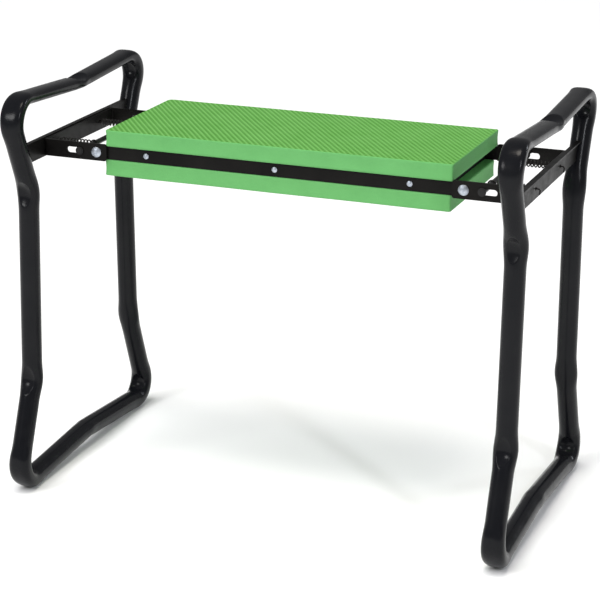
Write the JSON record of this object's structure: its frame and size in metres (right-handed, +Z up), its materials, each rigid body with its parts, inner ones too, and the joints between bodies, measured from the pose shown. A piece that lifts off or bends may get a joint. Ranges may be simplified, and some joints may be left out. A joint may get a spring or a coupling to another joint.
{
  "type": "folding garden kneeler seat",
  "caption": "Padded bench with rails, carried by hourglass bent-tube leg frames that fold under it; a sprung bar locks each frame, and it flips over to kneel on.",
  "frame": {"origin": "on the floor, below the middle of the seat, with the seat unfolded and standing on its foot bars", "axes": "+X along the seat from the left frame to the right frame, +Y from the front rail to the rear rail, +Z up"},
  "size_m": [0.5809, 0.3384, 0.4584],
  "materials": {
    "black_frame": "gloss",
    "green_foam": "matte",
    "board": "matte",
    "spring_steel": "satin",
    "latch_steel": "satin",
    "zinc": "satin"
  },
  "bodies": {
    "seat": {"seat_board": "board", "upper_pad": "green_foam", "lower_pad": "green_foam", "front_rail": "black_frame", "rear_rail": "black_frame", "front_rail_rivets": "zinc", "rear_rail_rivets": "zinc", "left_front_pivot_rivet": "zinc", "left_rear_pivot_rivet": "zinc", "right_front_pivot_rivet": "zinc", "right_rear_pivot_rivet": "zinc", "left_front_pivot_washer": "zinc", "left_rear_pivot_washer": "zinc", "right_front_pivot_washer": "zinc", "right_rear_pivot_washer": "zinc"},
    "left_leg_frame": {"left_leg_loop": "black_frame", "left_bracket": "black_frame", "left_crossbar": "black_frame", "left_front_spring": "spring_steel", "left_rear_spring": "spring_steel"},
    "right_leg_frame": {"right_leg_loop": "black_frame", "right_bracket": "black_frame", "right_crossbar": "black_frame", "right_front_spring": "spring_steel", "right_rear_spring": "spring_steel"},
    "left_latch": {"left_latch_bar": "latch_steel", "left_latch_rings": "latch_steel"},
    "right_latch": {"right_latch_bar": "latch_steel", "right_latch_rings": "latch_steel"}
  },
  "joints": [
    {"name": "left_fold", "type": "hinge", "parent": "seat", "child": "left_leg_frame", "pos_m": [-0.21, 0, 0.38803], "axis": [0, -1, 0], "range_deg": [0, 94]},
    {"name": "right_fold", "type": "hinge", "parent": "seat", "child": "right_leg_frame", "pos_m": [0.21, 0, 0.38803], "axis": [0, 1, 0], "range_deg": [0, 86]},
    {"name": "left_latch_slide", "type": "slide", "parent": "left_leg_frame", "child": "left_latch", "axis": [-1, 0, 0], "range_m": [0, 0.013], "stiffness_N_per_m": 600, "springref_m": -0.005, "deforming": ["left_front_spring", "left_rear_spring"]},
    {"name": "right_latch_slide", "type": "slide", "parent": "right_leg_frame", "child": "right_latch", "axis": [1, 0, 0], "range_m": [0, 0.013], "stiffness_N_per_m": 600, "springref_m": -0.005, "deforming": ["right_front_spring", "right_rear_spring"]}
  ]
}
